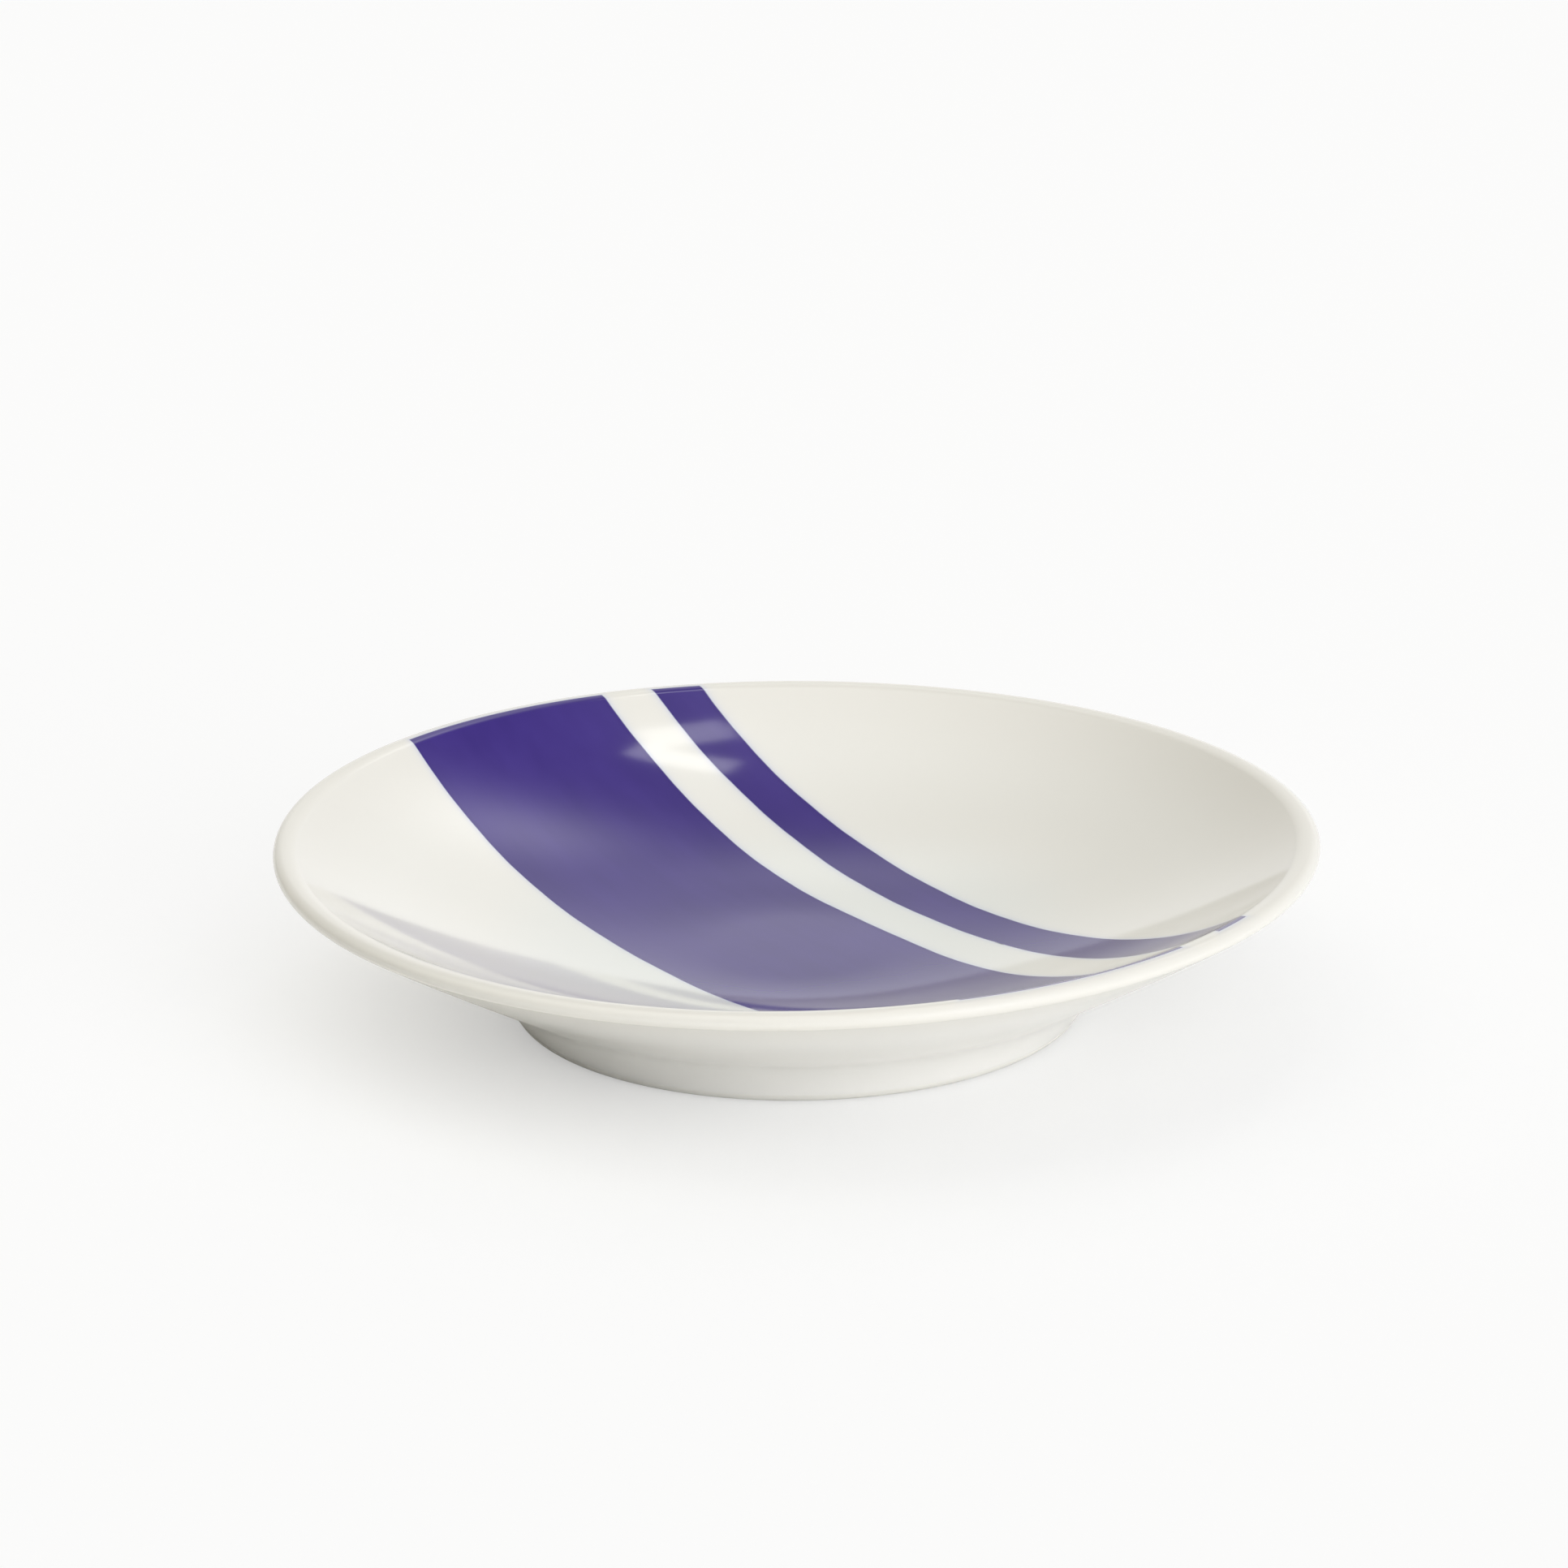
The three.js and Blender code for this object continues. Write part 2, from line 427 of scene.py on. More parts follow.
@dataclass(frozen=True)
class GlazeFinish:
    """Gloss glaze on white porcelain: ivory where it thins at the lip, cool where it pools."""

    white: Colour = tone(244, 242, 234)
    pooled: Colour = tone(237, 240, 235)
    ivory: Colour = tone(238, 235, 226)
    lip_foot: float = 17.0 * MM
    lip_crest: float = 25.6 * MM
    lip_cloud: float = 1.2 * MM
    pool_top: float = 14.0 * MM
    pool_floor: float = 8.0 * MM
    pool_cloud: float = 4.0 * MM
    pool_share: float = 0.8
    cloud_scale: float = 30.0
    cloud_detail: float = 3.0
    specks: Specks = Specks(
        cells_to_the_metre=130.0, outer_edge=0.025, inner_edge=0.01, bare_cells=0.985,
        strength=0.25, colour=tone(150, 132, 108))
    peel_scale: float = 240.0
    peel_height: float = 1.2 * MICRON
    swell_scale: float = 60.0
    swell_detail: float = 1.0
    swell_height: float = 9.0 * MICRON
    roughness: float = 0.06
    haze: float = 0.04
    haze_scale: float = 90.0
    ior: float = 1.5
    bands: PaintedBands | None = None

    @classmethod
    def for_outside(cls) -> GlazeFinish:
        """Give the outside's glaze, which is whiter, a little softer in its gloss and not pooled."""
        return cls(white=tone(248, 246, 240), pool_share=0.0, roughness=0.13)

    def colour(self, graph: Graph, place: Wire) -> Wire:
        """Work out the colour of the glaze at a point.

        Args:
            graph: The material's graph.
            place: Object coordinates.

        Returns:
            The colour.
        """
        height = graph.node("ShaderNodeSeparateXYZ", None, {"Vector": place}).out("Z")
        cloud = graph.noise(place, self.cloud_scale, self.cloud_detail) - 0.5
        ground = self.white
        if self.pool_share:
            pooled = graph.ease(height + cloud * self.pool_cloud, self.pool_top, self.pool_floor)
            ground = graph.mix(pooled * self.pool_share, ground, self.pooled)
        thinned = graph.ease(height + cloud * self.lip_cloud, self.lip_foot, self.lip_crest)
        ground = graph.mix(thinned, ground, self.ivory)
        ground = self.specks.over(graph, place, ground)
        return self.bands.over(graph, place, ground) if self.bands else ground

    def build(self, finish: Finish) -> bpy.types.Material:
        """Make the material.

        Args:
            finish: The finish that gives it its name.

        Returns:
            The material.
        """
        material, graph = new_material(finish)
        place = graph.node("ShaderNodeTexCoord").out("Object")
        peel = graph.noise(place, self.peel_scale) * self.peel_height
        swell = graph.noise(place, self.swell_scale, self.swell_detail) * self.swell_height
        surface = graph.node("ShaderNodeBsdfPrincipled", None, {
            "Base Color": self.colour(graph, place),
            "Roughness": self.roughness + self.haze * graph.noise(place, self.haze_scale),
            "IOR": self.ior,
            "Normal": graph.bump(peel + swell),
        })
        graph.node("ShaderNodeOutputMaterial", None, {"Surface": surface})
        return material


@dataclass(frozen=True)
class ClayFinish:
    """Fired porcelain without glaze: matt, fine grained and a little soiled where it stands."""

    clean: Colour = tone(240, 238, 230)
    soiled: Colour = tone(226, 221, 208)
    soil_height: float = 0.5 * MM
    soil_strength: float = 0.5
    patch_scale: float = 180.0
    patch_detail: float = 4.0
    patch_start: float = 0.35
    patch_full: float = 0.65
    grain_scale: float = 2600.0
    grain_height: float = 15.0 * MICRON
    roughness: float = 0.6
    roughness_spread: float = 0.2

    def build(self, finish: Finish) -> bpy.types.Material:
        """Make the material.

        Args:
            finish: The finish that gives it its name.

        Returns:
            The material.
        """
        material, graph = new_material(finish)
        place = graph.node("ShaderNodeTexCoord").out("Object")
        height = graph.node("ShaderNodeSeparateXYZ", None, {"Vector": place}).out("Z")
        patches = graph.noise(place, self.patch_scale, self.patch_detail)
        low = graph.ease(height, self.soil_height, 0.0)
        worn = low * graph.ease(patches, self.patch_start, self.patch_full)
        grain = graph.noise(place, self.grain_scale) * self.grain_height
        surface = graph.node("ShaderNodeBsdfPrincipled", None, {
            "Base Color": graph.mix(worn * self.soil_strength, self.clean, self.soiled),
            "Roughness": self.roughness + self.roughness_spread * patches,
            "Normal": graph.bump(grain),
        })
        graph.node("ShaderNodeOutputMaterial", None, {"Surface": surface})
        return material


def sunk(line: list[Point], depth: float) -> list[Point]:
    """Move a line to the right of its run, with sharp corners and its axis points on the axis.

    Args:
        line: Radii and heights.
        depth: How far it moves.

    Returns:
        The moved line, point for point.
    """
    moved = []
    for number, (radius, height) in enumerate(line):
        here = Vector((radius, height))
        before = (here - Vector(line[max(number - 1, 0)])).normalized()
        after = (Vector(line[min(number + 1, len(line) - 1)]) - here).normalized()
        across = Vector((before.y + after.y, -before.x - after.x))
        between = before.length and after.length
        reach = 2 * depth / across.length_squared if between else depth
        place = here + across * reach
        moved.append((0.0 if radius == 0 else place.x, place.y))
    return moved


def curve(start: Point, corner: Point, end: Point, steps: int) -> list[Point]:
    """Round a corner with a smooth curve.

    Args:
        start: Where the curve begins.
        corner: The corner that it rounds.
        end: Where it ends.
        steps: How many straight steps stand for it.

    Returns:
        The points of the curve.
    """
    corners = (start, corner, end)
    points = []
    for step in range(steps + 1):
        gone = step / steps
        left = 1 - gone
        shares = (left ** 2, 2 * gone * left, gone * gone)
        radius = sum(share * point[0] for share, point in zip(shares, corners))
        height = sum(share * point[1] for share, point in zip(shares, corners))
        points.append((radius, height))
    return points


def refined(line: list[Point], step: float) -> list[Point]:
    """Cut the long stretches of a line into steps, and drop points that repeat.

    Args:
        line: Radii and heights.
        step: The longest step that may stay.

    Returns:
        The finer line.
    """
    points = [line[0]]
    for end in line[1:]:
        start = points[-1]
        pieces = math.ceil(math.dist(start, end) / step)
        for number in range(1, pieces + 1):
            points.append(tuple(a + (b - a) * number / pieces for a, b in zip(start, end)))
    return points


def stand_in(piece: bpy.types.Object, node: str) -> bpy.types.Object:
    """Let a piece stand for one of the frame's solids.

    Args:
        piece: The dressed piece.
        node: The solid that it replaces.

    Returns:
        The same piece.
    """
    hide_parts(node)
    return piece


@dataclass
class PlateSection:
    """The plate's half section, as lines of radii and heights of its finished surface."""

    rim_radius: float
    total_height: float
    lip_thickness: float = 2.8 * MM
    lip_crest: float = 1.2 * MM
    lip_drop: float = 1.25 * MM
    lip_roll: float = 2.6 * MM
    roll_start: float = math.radians(144)
    lip_inner: float = math.radians(106)
    lip_outer: float = math.radians(-54.5)
    lip_steps: int = 36
    roll_steps: int = 14
    floor_thickness: float = 4.0 * MM
    well_steps: int = 48
    wall_bulge: float = 0.29 * MM
    wall_steps: int = 24
    foot_radius: float = 40.5 * MM
    foot_edge: float = 0.8 * MM
    foot_edge_steps: int = 6
    land_width: float = 3.0 * MM
    foot_inner_lean: float = 1.2 * MM
    shoulder_flare: float = 4.0 * MM
    shoulder_height: float = 6.2 * MM
    shoulder_blend: float = 5.6 * MM
    shoulder_steps: int = 14
    base_height: float = 4.4 * MM
    base_blend: float = 1.2 * MM
    base_blend_steps: int = 8
    base_step: float = 6.0 * MM
    bare_height: float = 1.2 * MM
    step: float = 1.5 * MM

    @property
    def shoulder(self) -> Vector:
        """The corner where the wall meets the foot."""
        return Vector((self.foot_radius + self.shoulder_flare, self.shoulder_height))

    @property
    def foot_bottom(self) -> Vector:
        """The corner of the foot's outer side and the table."""
        return Vector((self.foot_radius, 0.0))

    @property
    def foot_inside(self) -> float:
        """The radius of the foot's inner side at its edge."""
        return self.foot_radius - 2 * self.foot_edge - self.land_width

    @property
    def base_corner(self) -> Point:
        """The corner of the foot's inner side and the base."""
        return self.foot_inside - self.foot_inner_lean, self.base_height

    @property
    def inner_glaze_end(self) -> Point:
        """The point of the foot's inner side at which its glaze ends."""
        return self.foot_inside, self.bare_height

    def on_foot_side(self, height: float) -> Point:
        """Give the point of the foot's outer side at a height."""
        return tuple(self.foot_bottom.lerp(self.shoulder, height / self.shoulder_height))

    def on_lip(self, angle: float) -> Point:
        """Give the point of the lip's round at an angle about its middle.

        Args:
            angle: 0 on the widest line, a right angle on the crest, and more on the face's side.

        Returns:
            The radius and the height.
        """
        half = self.lip_thickness / 2
        reach = half if math.cos(angle) > 0 else self.lip_roll
        rise = self.lip_crest if angle > 0 else self.lip_drop
        radius = self.rim_radius - half + reach * math.cos(angle)
        return radius, self.total_height - self.lip_crest + rise * math.sin(angle)

    def round_lip(self, start: float, end: float, steps: int) -> list[Point]:
        """Trace the lip's round from one angle to another, with finer steps near both ends."""
        eased = [(1 - math.cos(math.pi * step / steps)) / 2 for step in range(steps + 1)]
        return [self.on_lip(start + (end - start) * share) for share in eased]

    def lip(self) -> list[Point]:
        """Trace the lip from the inner face over the crest and the widest line to the outer face."""
        return self.round_lip(self.lip_inner, self.lip_outer, self.lip_steps)

    def wall(self) -> list[Point]:
        """Trace the outer wall, which is a little fuller than straight.

        Returns:
            The line from the lip down to the blend above the foot.
        """
        top = Vector(self.lip()[-1])
        run = top - self.shoulder
        out = Vector((run.y, -run.x)).normalized()
        last = 1 - self.shoulder_blend / run.length
        points = []
        for step in range(self.wall_steps + 1):
            share = last * step / self.wall_steps
            full = self.wall_bulge * 4 * share * (1 - share)
            points.append(tuple(top.lerp(self.shoulder, share) + out * full))
        return points

    def outside(self) -> list[Point]:
        """Trace the outside's glaze.

        Returns:
            The line from the lip down the wall, round the shoulder and down the foot.
        """
        wall = self.wall()
        glaze_end = Vector(self.on_foot_side(self.bare_height))
        foot_start = self.shoulder + (glaze_end - self.shoulder).normalized() * self.shoulder_blend
        blend = curve(wall[-1], tuple(self.shoulder), tuple(foot_start), self.shoulder_steps)
        return refined([*wall, *blend[1:], tuple(glaze_end)], self.step)

    def face(self) -> list[Point]:
        """Trace the face, which is one long curve that ends in the lip's round.

        Returns:
            The line from the axis over the floor and up to the lip.
        """
        end = self.on_lip(self.roll_start)
        floor = self.base_height + self.floor_thickness
        slope = math.atan(-self.lip_crest / (self.lip_roll * math.tan(self.roll_start)))
        radius = (end[1] - floor) / (1 - math.cos(slope))
        points = [(0.0, floor)]
        for step in range(self.well_steps + 1):
            angle = slope * step / self.well_steps
            reach = end[0] - radius * (math.sin(slope) - math.sin(angle))
            points.append((reach, floor + radius * (1 - math.cos(angle))))
        roll = self.round_lip(self.roll_start, self.lip_inner, self.roll_steps)
        return refined([*points, *roll[1:]], self.step)

    def underside(self) -> list[Point]:
        """Trace the glaze inside the foot.

        Returns:
            The line from the glaze's end up the foot's inner side and over the base to the axis.
        """
        corner, glaze_end = self.base_corner, self.inner_glaze_end
        share = self.base_blend / math.dist(corner, glaze_end)
        blend_start = tuple(c + (g - c) * share for c, g in zip(corner, glaze_end))
        blend_end = (corner[0] - self.base_blend, corner[1])
        blend = curve(blend_start, corner, blend_end, self.base_blend_steps)
        return refined([glaze_end, *blend, (0.0, self.base_height)], self.base_step)

    def bare_foot(self) -> list[Point]:
        """Trace the bare clay on which the plate stands.

        Returns:
            The line from the outer glaze's end over the land to the inner glaze's end.
        """
        outer = self.foot_radius - self.foot_edge
        inner = outer - self.land_width
        steps = self.foot_edge_steps
        outer_edge = curve(self.on_foot_side(self.foot_edge), tuple(self.foot_bottom), (outer, 0.0), steps)
        inner_edge = curve((inner, 0.0), (self.foot_inside, 0.0), (self.foot_inside, self.foot_edge), steps)
        outer_end = self.on_foot_side(self.bare_height)
        return [outer_end, *outer_edge, *inner_edge, self.inner_glaze_end]


@dataclass
class Lathe:
    """A tree of Geometry Nodes that turns a section line about the Z axis into a closed piece."""

    rim_radius: float
    total_height: float
    segments: int = 256
    weld: float = 1e-7
    warp: float = 0.9 * MM
    warp_lobes: float = 2.0
    warp_turn: float = math.radians(152)
    tree: bpy.types.NodeTree = field(init=False)

    def __post_init__(self) -> None:
        """Build the tree once; every turned piece shares it."""
        self.tree = bpy.data.node_groups.new("turned_piece", "GeometryNodeTree")
        sockets = (
            ("Section", "INPUT", "NodeSocketGeometry"),
            ("Segments", "INPUT", "NodeSocketInt"),
            ("Rim Radius", "INPUT", "NodeSocketFloat"),
            ("Total Height", "INPUT", "NodeSocketFloat"),
            ("Warp", "INPUT", "NodeSocketFloat"),
            ("Warp Turn", "INPUT", "NodeSocketFloat"),
            ("Material", "INPUT", "NodeSocketMaterial"),
            ("Piece", "OUTPUT", "NodeSocketGeometry"),
        )
        for name, side, kind in sockets:
            self.tree.interface.new_socket(name, in_out=side, socket_type=kind)
        self.wire_up(Graph(self.tree))

    def wire_up(self, graph: Graph) -> None:
        """Lay out the tree: a grid of section points by turns, rolled up, warped and closed.

        Args:
            graph: The tree's graph.
        """
        given = graph.node("NodeGroupInput")
        section = given.out("Section")
        count = graph.node("GeometryNodeAttributeDomainSize", {"component": "MESH"}, {"Geometry": section})
        sizes = {"Vertices X": count, "Vertices Y": given.out("Segments") + 1}
        grid = graph.node("GeometryNodeMeshGrid", None, {"Size X": 1.0, "Size Y": 1.0, **sizes})
        shares = graph.node("ShaderNodeSeparateXYZ", None, {"Vector": grid.out("UV Map")})
        number = graph.node("FunctionNodeFloatToInt", None, {"Float": shares.out("X") * (count - 1)})
        here = graph.node("GeometryNodeInputPosition")
        point = graph.node(
            "GeometryNodeSampleIndex", {"data_type": "FLOAT_VECTOR"},
            {"Geometry": section, "Value": here, "Index": number})
        axes = graph.node("ShaderNodeSeparateXYZ", None, {"Vector": point})
        radius, height = axes.out("X"), axes.out("Z")
        angle = shares.out("Y") * math.tau
        lobes = graph.math("COSINE", (angle - given.out("Warp Turn")) * self.warp_lobes)
        sag = given.out("Warp") * (lobes - 1.0) * 0.5
        share = (radius / given.out("Rim Radius")) ** 2.0 * height / given.out("Total Height")
        x = radius * graph.math("COSINE", angle)
        y = radius * graph.math("SINE", angle)
        rolled = graph.vector(x, y, height + sag * share)
        mapped = graph.node(
            "GeometryNodeStoreNamedAttribute", {"data_type": "FLOAT2", "domain": "CORNER"},
            {"Geometry": grid, "Name": "UVMap", "Value": grid.out("UV Map")})
        turned = graph.node("GeometryNodeSetPosition", None, {"Geometry": mapped, "Position": rolled})
        closed = graph.node("GeometryNodeMergeByDistance", None, {"Geometry": turned, "Distance": self.weld})
        smooth = graph.node("GeometryNodeSetShadeSmooth", None, {"Geometry": closed})
        real = graph.node("GeometryNodeRealizeInstances", None, {"Geometry": smooth})
        dressed = graph.node(
            "GeometryNodeSetMaterial", None, {"Geometry": real, "Material": given.out("Material")})
        graph.node("NodeGroupOutput", None, {"Piece": dressed})

    def turn(self, name: str, section: list[Point], material: bpy.types.Material) -> bpy.types.Object:
        """Turn a section that is listed clockwise, and keep the result as a plain mesh.

        Args:
            name: The piece's name.
            section: Radii and heights; it closes on itself unless both its ends are on the axis.
            material: The finish of the whole piece.

        Returns:
            The piece, at the origin.
        """
        on_axis = section[0][0] == 0 and section[-1][0] == 0
        line = section if on_axis else [*section, section[0]]
        mesh = bpy.data.meshes.new(name)
        mesh.from_pydata([(radius, 0.0, height) for radius, height in line], [], [])
        blank = bpy.data.objects.new(name, mesh)
        bpy.context.scene.collection.objects.link(blank)
        modifier = blank.modifiers.new("turned", "NODES")
        modifier.node_group = self.tree
        values = {
            "Segments": self.segments, "Rim Radius": self.rim_radius, "Total Height": self.total_height,
            "Warp": self.warp, "Warp Turn": self.warp_turn, "Material": material,
        }
        for item in self.tree.interface.items_tree:
            if item.in_out == "INPUT" and item.name in values:
                modifier[item.identifier] = values[item.name]
        return self.keep(blank)

    @staticmethod
    def keep(blank: bpy.types.Object) -> bpy.types.Object:
        """Swap an object's mesh for the evaluated one and take its modifiers off.

        Args:
            blank: The object with its modifier.

        Returns:
            The same object with a plain mesh.
        """
        bpy.context.view_layer.update()
        evaluated = blank.evaluated_get(bpy.context.evaluated_depsgraph_get())
        made = bpy.data.meshes.new_from_object(evaluated)
        blank.modifiers.clear()
        blank.data = made
        made.name = blank.name
        made.set_sharp_from_angle(angle=SHARP)
        return blank


@dataclass
class ClayBody:
    """The porcelain under the glaze: the dish and the ring that it stands on."""

    section: PlateSection
    lathe: Lathe
    finish: bpy.types.Material
    depth: float = 0.5 * MM
    seam: float = 0.1 * MM

    @property
    def joint_height(self) -> float:
        """The height of the dish's flat underside, where the ring is luted on."""
        return self.section.base_height + self.depth

    @staticmethod
    def below(line: list[Point], height: float) -> list[Point]:
        """Keep the part of a falling line that lies below a height.

        Args:
            line: Radii and heights.
            height: Where the line is cut.

        Returns:
            The point where the line crosses the height, and its points below it.
        """
        kept = []
        for start, end in zip(line, line[1:]):
            if (start[1] - height) * (end[1] - height) < 0:
                share = (height - start[1]) / (end[1] - start[1])
                kept.append(tuple(a + (b - a) * share for a, b in zip(start, end)))
            if end[1] < height:
                kept.append(end)
        return kept

    def above(self, line: list[Point], height: float) -> list[Point]:
        """Keep the part of a falling line that lies above a height, with its crossing point."""
        turned = [(radius, -rise) for radius, rise in reversed(line)]
        return [(radius, -rise) for radius, rise in reversed(self.below(turned, -height))]

    def dish(self) -> bpy.types.Object:
        """Make the dish, with its floor, wall and lip.

        Returns:
            The dish.
        """
        part = self.section
        line = sunk([*part.face(), *part.lip()[1:], *part.outside()[1:]], self.depth)
        wall = [(0.0, line[0][1]), *self.above(line, self.joint_height)]
        piece = self.lathe.turn("dish_clay", [*wall, (0.0, self.joint_height)], self.finish)
        return stand_in(piece, "dish_body")

    def ring(self) -> bpy.types.Object:
        """Make the foot ring, with the bare land on which the plate stands.

        Returns:
            The ring.
        """
        part = self.section
        top = self.joint_height - self.seam
        outer = self.below(sunk(part.outside(), self.depth), top)
        inner_side = sunk([part.inner_glaze_end, part.base_corner], self.depth)
        inner = [inner_side[0], (inner_side[1][0], top)]
        piece = self.lathe.turn("foot_ring_clay", [*outer, *part.bare_foot(), *inner], self.finish)
        return stand_in(piece, "foot_ring")


@dataclass
class GlazeCoats:
    """The glaze: five fields over the face, and coats over the lip, the outside and the underside."""

    section: PlateSection
    lathe: Lathe
    bands: PaintedBands
    face_finish: bpy.types.Material
    band_finish: bpy.types.Material
    outside_finish: bpy.types.Material
    thickness: float = 0.4 * MM
    cut_snap: float = 1e-8

    def coat(
        self, name: str, line: list[Point], back: list[Point], finish: bpy.types.Material,
    ) -> bpy.types.Object:
        """Make a coat between a stretch of the surface and the same stretch of its back.

        Args:
            name: The piece's name.
            line: The finished surface.
            back: The back of the glaze, point for point.
            finish: The coat's material.

        Returns:
            The coat.
        """
        return self.lathe.turn(name, [*line, *reversed(back)], finish)

    def sway(self, shape: bmesh.types.BMesh, edge: PaintEdge, share: float) -> None:
        """Move a shape level and square to the bands, as far as an edge strays at each place.

        Args:
            shape: The shape to move.
            edge: The edge whose waver it follows.
            share: 1 to follow the waver, and -1 to undo it.
        """
        for vertex in shape.verts:
            stray = edge.waver(vertex.co.dot(self.bands.along), math.sin)
            vertex.co += self.bands.across * (stray * share)

    def trim(self, shape: bmesh.types.BMesh, edge: PaintEdge, side: float) -> None:
        """Cut a shape along an edge of the paint and close it there.

        Args:
            shape: The shape to cut.
            edge: The edge to follow.
            side: 1 to drop what lies past the edge, and -1 to drop what lies before it.
        """
        self.sway(shape, edge, -1.0)
        cut = bmesh.ops.bisect_plane(
            shape,
            geom=[*shape.verts, *shape.edges, *shape.faces],
            dist=self.cut_snap,
            plane_co=self.bands.across * edge.place,
            plane_no=self.bands.across * side,
            clear_outer=True,
        )
        opened = [part for part in cut["geom_cut"] if isinstance(part, bmesh.types.BMEdge)]
        bmesh.ops.holes_fill(shape, edges=opened)
        self.sway(shape, edge, 1.0)

    def face_field(
        self, name: str, face: bpy.types.Object, low: PaintEdge | None, high: PaintEdge | None,
        finish: bpy.types.Material,
    ) -> bpy.types.Object:
        """Cut one field out of the face's coat.

        Args:
            name: The piece's name.
            face: The coat over the whole face.
            low: The edge that the field starts at, if it doesn't start at the rim.
            high: The edge that it ends at, if it doesn't end at the rim.
            finish: The field's material.

        Returns:
            The field.
        """
        shape = bmesh.new()
        shape.from_mesh(face.data)
        for edge, side in ((low, -1.0), (high, 1.0)):
            if edge:
                self.trim(shape, edge, side)
        bmesh.ops.recalc_face_normals(shape, faces=shape.faces)
        mesh = bpy.data.meshes.new(name)
        shape.to_mesh(mesh)
        shape.free()
        mesh.materials.append(finish)
        mesh.set_sharp_from_angle(angle=SHARP)
        piece = bpy.data.objects.new(name, mesh)
        bpy.context.scene.collection.objects.link(piece)
        return piece

    def face(self, line: list[Point], back: list[Point]) -> list[bpy.types.Object]:
        """Make the five fields of the face.

        Args:
            line: The face's finished surface.
            back: The back of its glaze.

        Returns:
            The fields from the front left to the back right.
        """
        whole = self.coat("face_coat", line, back, self.face_finish)
        first, second, third, fourth = self.bands.edges
        plan = (
            ("front_field", "front_clear_glaze", "clear_glaze", None, first, self.face_finish),
            ("broad_band", "broad_blue_band", "indigo_glaze", first, second, self.band_finish),
            ("middle_field", "middle_clear_glaze", "clear_glaze", second, third, self.face_finish),
            ("narrow_band", "narrow_blue_band", "indigo_glaze", third, fourth, self.band_finish),
            ("back_field", "back_clear_glaze", "clear_glaze", fourth, None, self.face_finish),
        )
        pieces = []
        for name, node, slot, low, high, finish in plan:
            piece = self.face_field(name, whole, low, high, finish)
            pieces.append(stand_in(piece, node))
        bpy.data.objects.remove(whole)
        return pieces

    def build(self) -> list[bpy.types.Object]:
        """Make the coats, each standing in for one of the frame's solids.

        Returns:
            The coats.
        """
        face, lip, outside = self.section.face(), self.section.lip(), self.section.outside()
        whole = [*face, *lip[1:], *outside[1:]]
        back = sunk(whole, self.thickness)
        start = len(face) - 1
        end = start + len(lip) - 1
        over_lip = slice(start, end + 1)
        under = self.section.underside()
        under_back = sunk(under, self.thickness)
        plan = (
            ("lip_coat", "lip_glaze", "lip_glaze", whole[over_lip], back[over_lip], self.face_finish),
            ("outside_coat", "outside_glaze", "clear_glaze", whole[end:], back[end:], self.outside_finish),
            ("underside_coat", "underside_glaze", "clear_glaze", under, under_back, self.outside_finish),
        )
        pieces = self.face(whole[:start + 1], back[:start + 1])
        for name, node, slot, line, behind, finish in plan:
            piece = self.coat(name, line, behind, finish)
            pieces.append(stand_in(piece, node))
        return pieces


class Tint(Enum):
    """The tints of the room's light."""

    COOL = (0.975, 0.99, 1.03)
    PLAIN = (1.0, 1.0, 1.0)
    WARM = (1.04, 1.0, 0.9)
    AMBER = (1.04, 1.0, 0.82)


@dataclass(frozen=True)
class RoomGlow:
    """A broad soft glow of the room, such as a lit wall or ceiling.

    Its angles are degrees. The gloss mirrors only a share of the glows that light the plate most.
    """

    azimuth: float
    elevation: float
    strength: float
    sharpness: float
    tint: Tint = Tint.PLAIN
    gloss_share: float = 1.0

    def light(self, graph: Graph, way: Wire, glossy: Wire) -> Wire:
        """Work out the glow's light in a direction.

        Args:
            graph: The world's graph.
            way: The direction.
            glossy: 1 for a ray that a gloss mirrors, and else 0.

        Returns:
            The light's colour.
        """
        turn, rise = math.radians(self.azimuth), math.radians(self.elevation)
        middle = (math.cos(rise) * math.cos(turn), math.cos(rise) * math.sin(turn), math.sin(rise))
        facing = graph.node("ShaderNodeVectorMath", {"operation": "DOT_PRODUCT"}, {0: way, 1: middle})
        level = graph.math("MAXIMUM", facing, 0.0) ** self.sharpness * self.strength
        if self.gloss_share < 1:
            level = level * (1.0 - glossy * (1.0 - self.gloss_share))
        tinted = {0: self.tint.value, "Scale": level}
        return graph.node("ShaderNodeVectorMath", {"operation": "SCALE"}, tinted)


@dataclass(frozen=True)
class StripLamp:
    """A long lamp between two points that faces the plate."""

    name: str
    start: tuple[float, float, float]
    end: tuple[float, float, float]
    width: float
    power: float

    def build(self) -> None:
        """Hang the lamp."""
        start, end = Vector(self.start), Vector(self.end)
        data = bpy.data.lights.new(self.name, "AREA")
        data.shape = "RECTANGLE"
        data.size, data.size_y = (end - start).length, self.width
        data.energy = self.power
        middle = (start + end) / 2
        away = middle.normalized()
        run = (end - start).normalized()
        square = away.cross(run).normalized()
        turn = Matrix((run, square, run.cross(square))).transposed()
        lamp = bpy.data.objects.new(self.name, data)
        lamp.matrix_world = Matrix.Translation(middle) @ turn.to_4x4()
        bpy.context.scene.collection.objects.link(lamp)


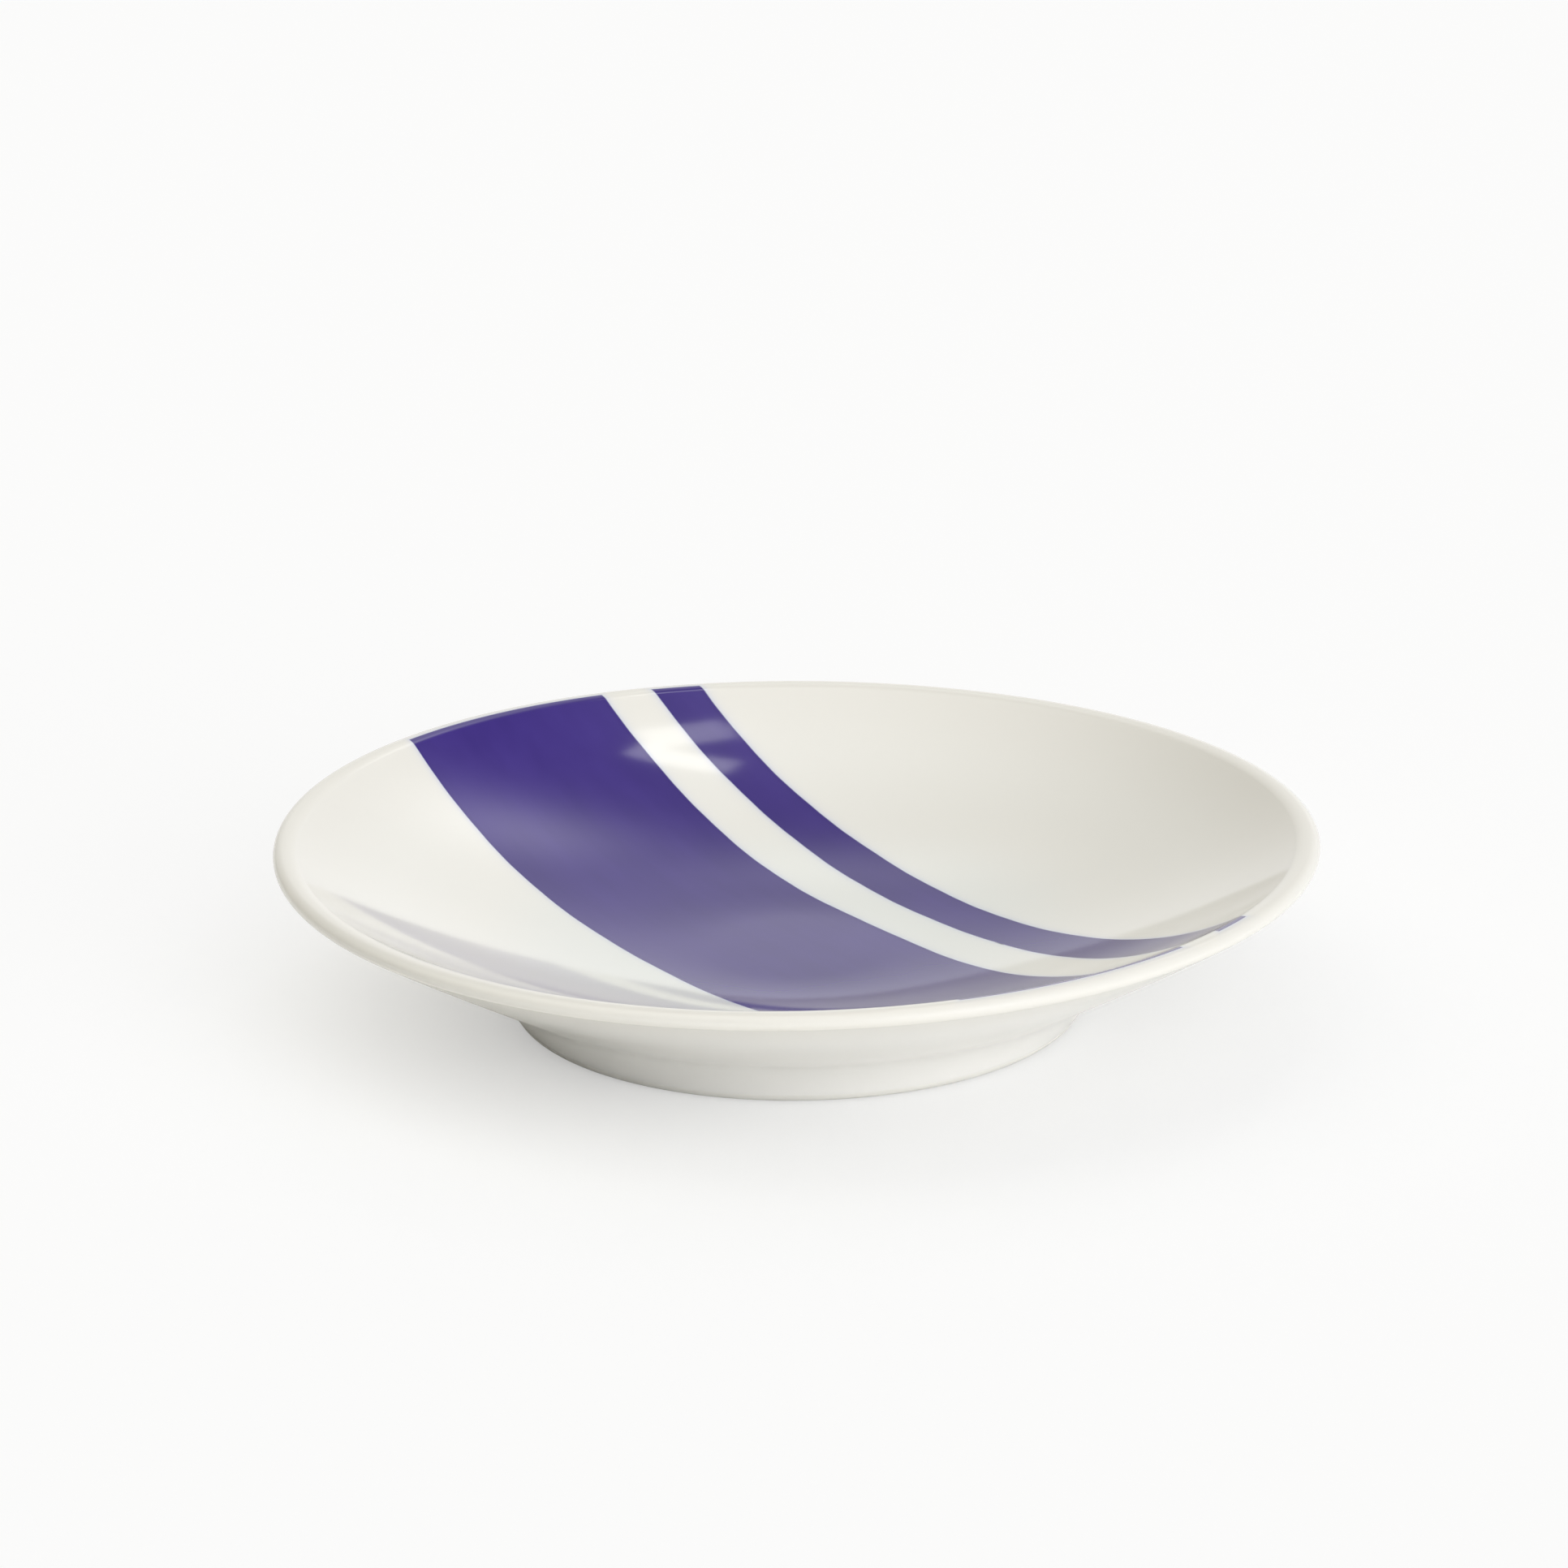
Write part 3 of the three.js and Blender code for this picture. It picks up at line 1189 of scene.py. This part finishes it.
@dataclass(frozen=True)
class Studio:
    """A pale floor, a softly lit room, two lamps and a camera at the photograph's viewpoint."""

    floor_reach: float = 4.0
    floor_colour: Colour = tone(252, 252, 251)
    floor_glow: float = 0.75
    near_glow: float = 0.4
    glow_start: float = 0.04
    glow_full: float = 0.11
    ambient: float = 0.01
    glows: tuple[RoomGlow, ...] = (
        # The bright front right, which lights the outside
        RoomGlow(311, 10, 4.78, 12, Tint.COOL, gloss_share=0.3),
        RoomGlow(300, 32, 1.97, 12, Tint.COOL, gloss_share=0.5),
        # The pale walls behind the plate
        RoomGlow(90, 8, 1.08, 8),
        RoomGlow(45, 8, 0.8, 8),
        RoomGlow(135, 8, 0.28, 8, Tint.WARM),
        RoomGlow(135, 40, 0.27, 8),
        # The sheen on the face
        RoomGlow(74, 40, 0.4, 40),
        RoomGlow(70, 41, 1.1, 160),
        RoomGlow(93, 38, 0.6, 120),
        # The warm left and the ceiling
        RoomGlow(180, 55, 0.82, 8, Tint.AMBER),
        RoomGlow(180, 75, 0.42, 8),
        RoomGlow(0, 90, 0.78, 6),
    )
    lamps: tuple[StripLamp, ...] = (
        StripLamp("strip_back", (0.250, 0.565, 1.12), (0.092, 0.612, 1.12), width=0.065, power=0.11),
        StripLamp("strip_front", (0.235, 0.515, 1.12), (0.108, 0.430, 1.12), width=0.075, power=0.11),
    )
    distance: float = 1.0
    elevation: float = math.radians(20.168)
    pan: float = math.radians(0.099)
    tilt: float = math.radians(1.803)
    roll: float = math.radians(0.534)
    focal_pixels: float = 8515.0
    image_pixels: float = 1932.0
    sensor: float = 36.0

    def build(self) -> None:
        """Make the floor, the world, the camera and the lamps."""
        self.floor()
        self.world()
        self.camera()
        for lamp in self.lamps:
            lamp.build()

    def floor(self) -> None:
        """Lay the floor, which glows towards the camera and in the gloss, less so near the plate."""
        mesh = bpy.data.meshes.new("floor")
        far = self.floor_reach
        corners = [(-far, -far, 0.0), (far, -far, 0.0), (far, far, 0.0), (-far, far, 0.0)]
        mesh.from_pydata(corners, [], [(0, 1, 2, 3)])
        floor = bpy.data.objects.new("floor", mesh)
        bpy.context.scene.collection.objects.link(floor)
        material, graph = new_material(Finish.FLOOR)
        rays = graph.node("ShaderNodeLightPath")
        place = graph.node("ShaderNodeTexCoord").out("Object")
        reach = graph.node("ShaderNodeVectorMath", {"operation": "LENGTH"}, {0: place})
        clear = graph.ease(reach, self.glow_start, self.glow_full)
        mirrored = graph.math("MINIMUM", rays.out("Is Glossy Ray") + rays.out("Is Transmission Ray"), 1.0)
        straight = self.near_glow + (self.floor_glow - self.near_glow) * clear
        seen = rays.out("Is Camera Ray") * straight + mirrored * clear * self.floor_glow
        matt = graph.node("ShaderNodeBsdfDiffuse", None, {"Color": self.floor_colour})
        glow = graph.node("ShaderNodeEmission", None, {"Color": WHITE, "Strength": 1.0})
        mixed = graph.node("ShaderNodeMixShader", None, {0: seen, 1: matt, 2: glow})
        graph.node("ShaderNodeOutputMaterial", None, {"Surface": mixed})
        mesh.materials.append(material)
        floor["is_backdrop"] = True

    def world(self) -> None:
        """Light the room with its glows, and show plain white to the camera past the floor."""
        world = bpy.data.worlds.new("studio")
        world.use_nodes = True
        bpy.context.scene.world = world
        graph = Graph(world.node_tree)
        way = graph.node("ShaderNodeTexCoord").out("Generated")
        rays = graph.node("ShaderNodeLightPath")
        light = (self.ambient, self.ambient, self.ambient)
        for glow in self.glows:
            parts = {0: light, 1: glow.light(graph, way, rays.out("Is Glossy Ray"))}
            light = graph.node("ShaderNodeVectorMath", {"operation": "ADD"}, parts)
        colour = graph.mix(rays.out("Is Camera Ray"), light, WHITE)
        back = graph.node("ShaderNodeBackground", None, {"Color": colour, "Strength": 1.0})
        graph.node("ShaderNodeOutputWorld", None, {"Surface": back})

    def camera(self) -> None:
        """Stand the camera at the photograph's angle and distance."""
        data = bpy.data.cameras.new("camera")
        data.sensor_width = self.sensor
        data.lens = self.focal_pixels / self.image_pixels * self.sensor
        camera = bpy.data.objects.new("camera", data)
        place = Vector((0.0, -math.cos(self.elevation), math.sin(self.elevation))) * self.distance
        forward = -place.normalized()
        right = Vector((1.0, 0.0, 0.0))
        up = right.cross(forward)
        pan = Matrix.Rotation(self.pan, 3, up)
        forward, right = pan @ forward, pan @ right
        tilt = Matrix.Rotation(self.tilt, 3, right)
        forward, up = tilt @ forward, tilt @ up
        roll = Matrix.Rotation(self.roll, 3, forward)
        right, up = roll @ right, roll @ up
        turn = Matrix((right, up, -forward)).transposed()
        camera.matrix_world = Matrix.Translation(place) @ turn.to_4x4()
        bpy.context.scene.collection.objects.link(camera)
        bpy.context.scene.camera = camera


def main() -> None:
    """Build the plate and its studio around the frame."""
    logging.basicConfig(level=logging.INFO, format="%(name)s: %(message)s")
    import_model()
    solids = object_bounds()
    bpy.context.scene.view_settings.view_transform = "Standard"
    section = PlateSection(rim_radius=solids[1].x, total_height=solids[1].z)
    lathe = Lathe(section.rim_radius, section.total_height)
    bands = PaintedBands(end_radius=section.lip()[0][0])
    face = GlazeFinish(bands=bands)
    outside = GlazeFinish.for_outside().build(Finish.OUTSIDE)
    clay = ClayBody(section, lathe, ClayFinish().build(Finish.CLAY))
    coats = GlazeCoats(section, lathe, bands, face.build(Finish.FACE), face.build(Finish.BAND), outside)
    pieces = [clay.dish(), clay.ring(), *coats.build()]
    for piece in pieces:
        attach(piece, BODY)
        LOG.info("%s has %d faces", piece.name, len(piece.data.polygons))
    Studio().build()


if __name__ == "__main__":
    main()
